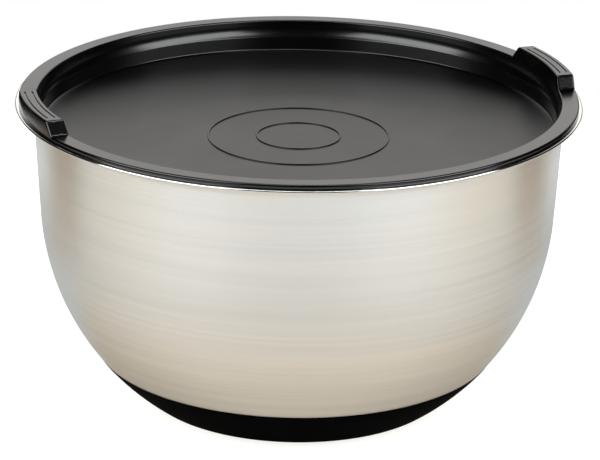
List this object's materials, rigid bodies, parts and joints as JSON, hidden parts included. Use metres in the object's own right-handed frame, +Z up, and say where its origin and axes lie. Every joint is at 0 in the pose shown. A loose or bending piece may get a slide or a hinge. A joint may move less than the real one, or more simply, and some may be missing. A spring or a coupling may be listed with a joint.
{
  "type": "mixing bowl with lid",
  "caption": "Round brushed steel mixing bowl with a flanged rim, a black rubber non-slip base and a black plug-in lid with a recessed top and raised grip tabs.",
  "frame": {"origin": "centre of the foot ring, on the surface that the bowl stands on", "axes": "+Z up along the bowl's axis, +X through the middle of one grip tab"},
  "size_m": [0.25, 0.25, 0.1439],
  "materials": {
    "brushed_steel": "brushed round the bowl, satin",
    "base_rubber": "matte moulded rubber",
    "adhesive": "cured adhesive film",
    "lid_plastic": "fine satin moulded texture"
  },
  "bodies": {
    "bowl": {"steel_bowl": "brushed_steel", "nonslip_base": "base_rubber", "base_bond": "adhesive"},
    "lid": {"lid": "lid_plastic"}
  },
  "joints": [
    {"name": "lid_lift", "type": "slide", "parent": "bowl", "child": "lid", "axis": [0, 0, 1], "range_m": [0, 0.15]}
  ]
}
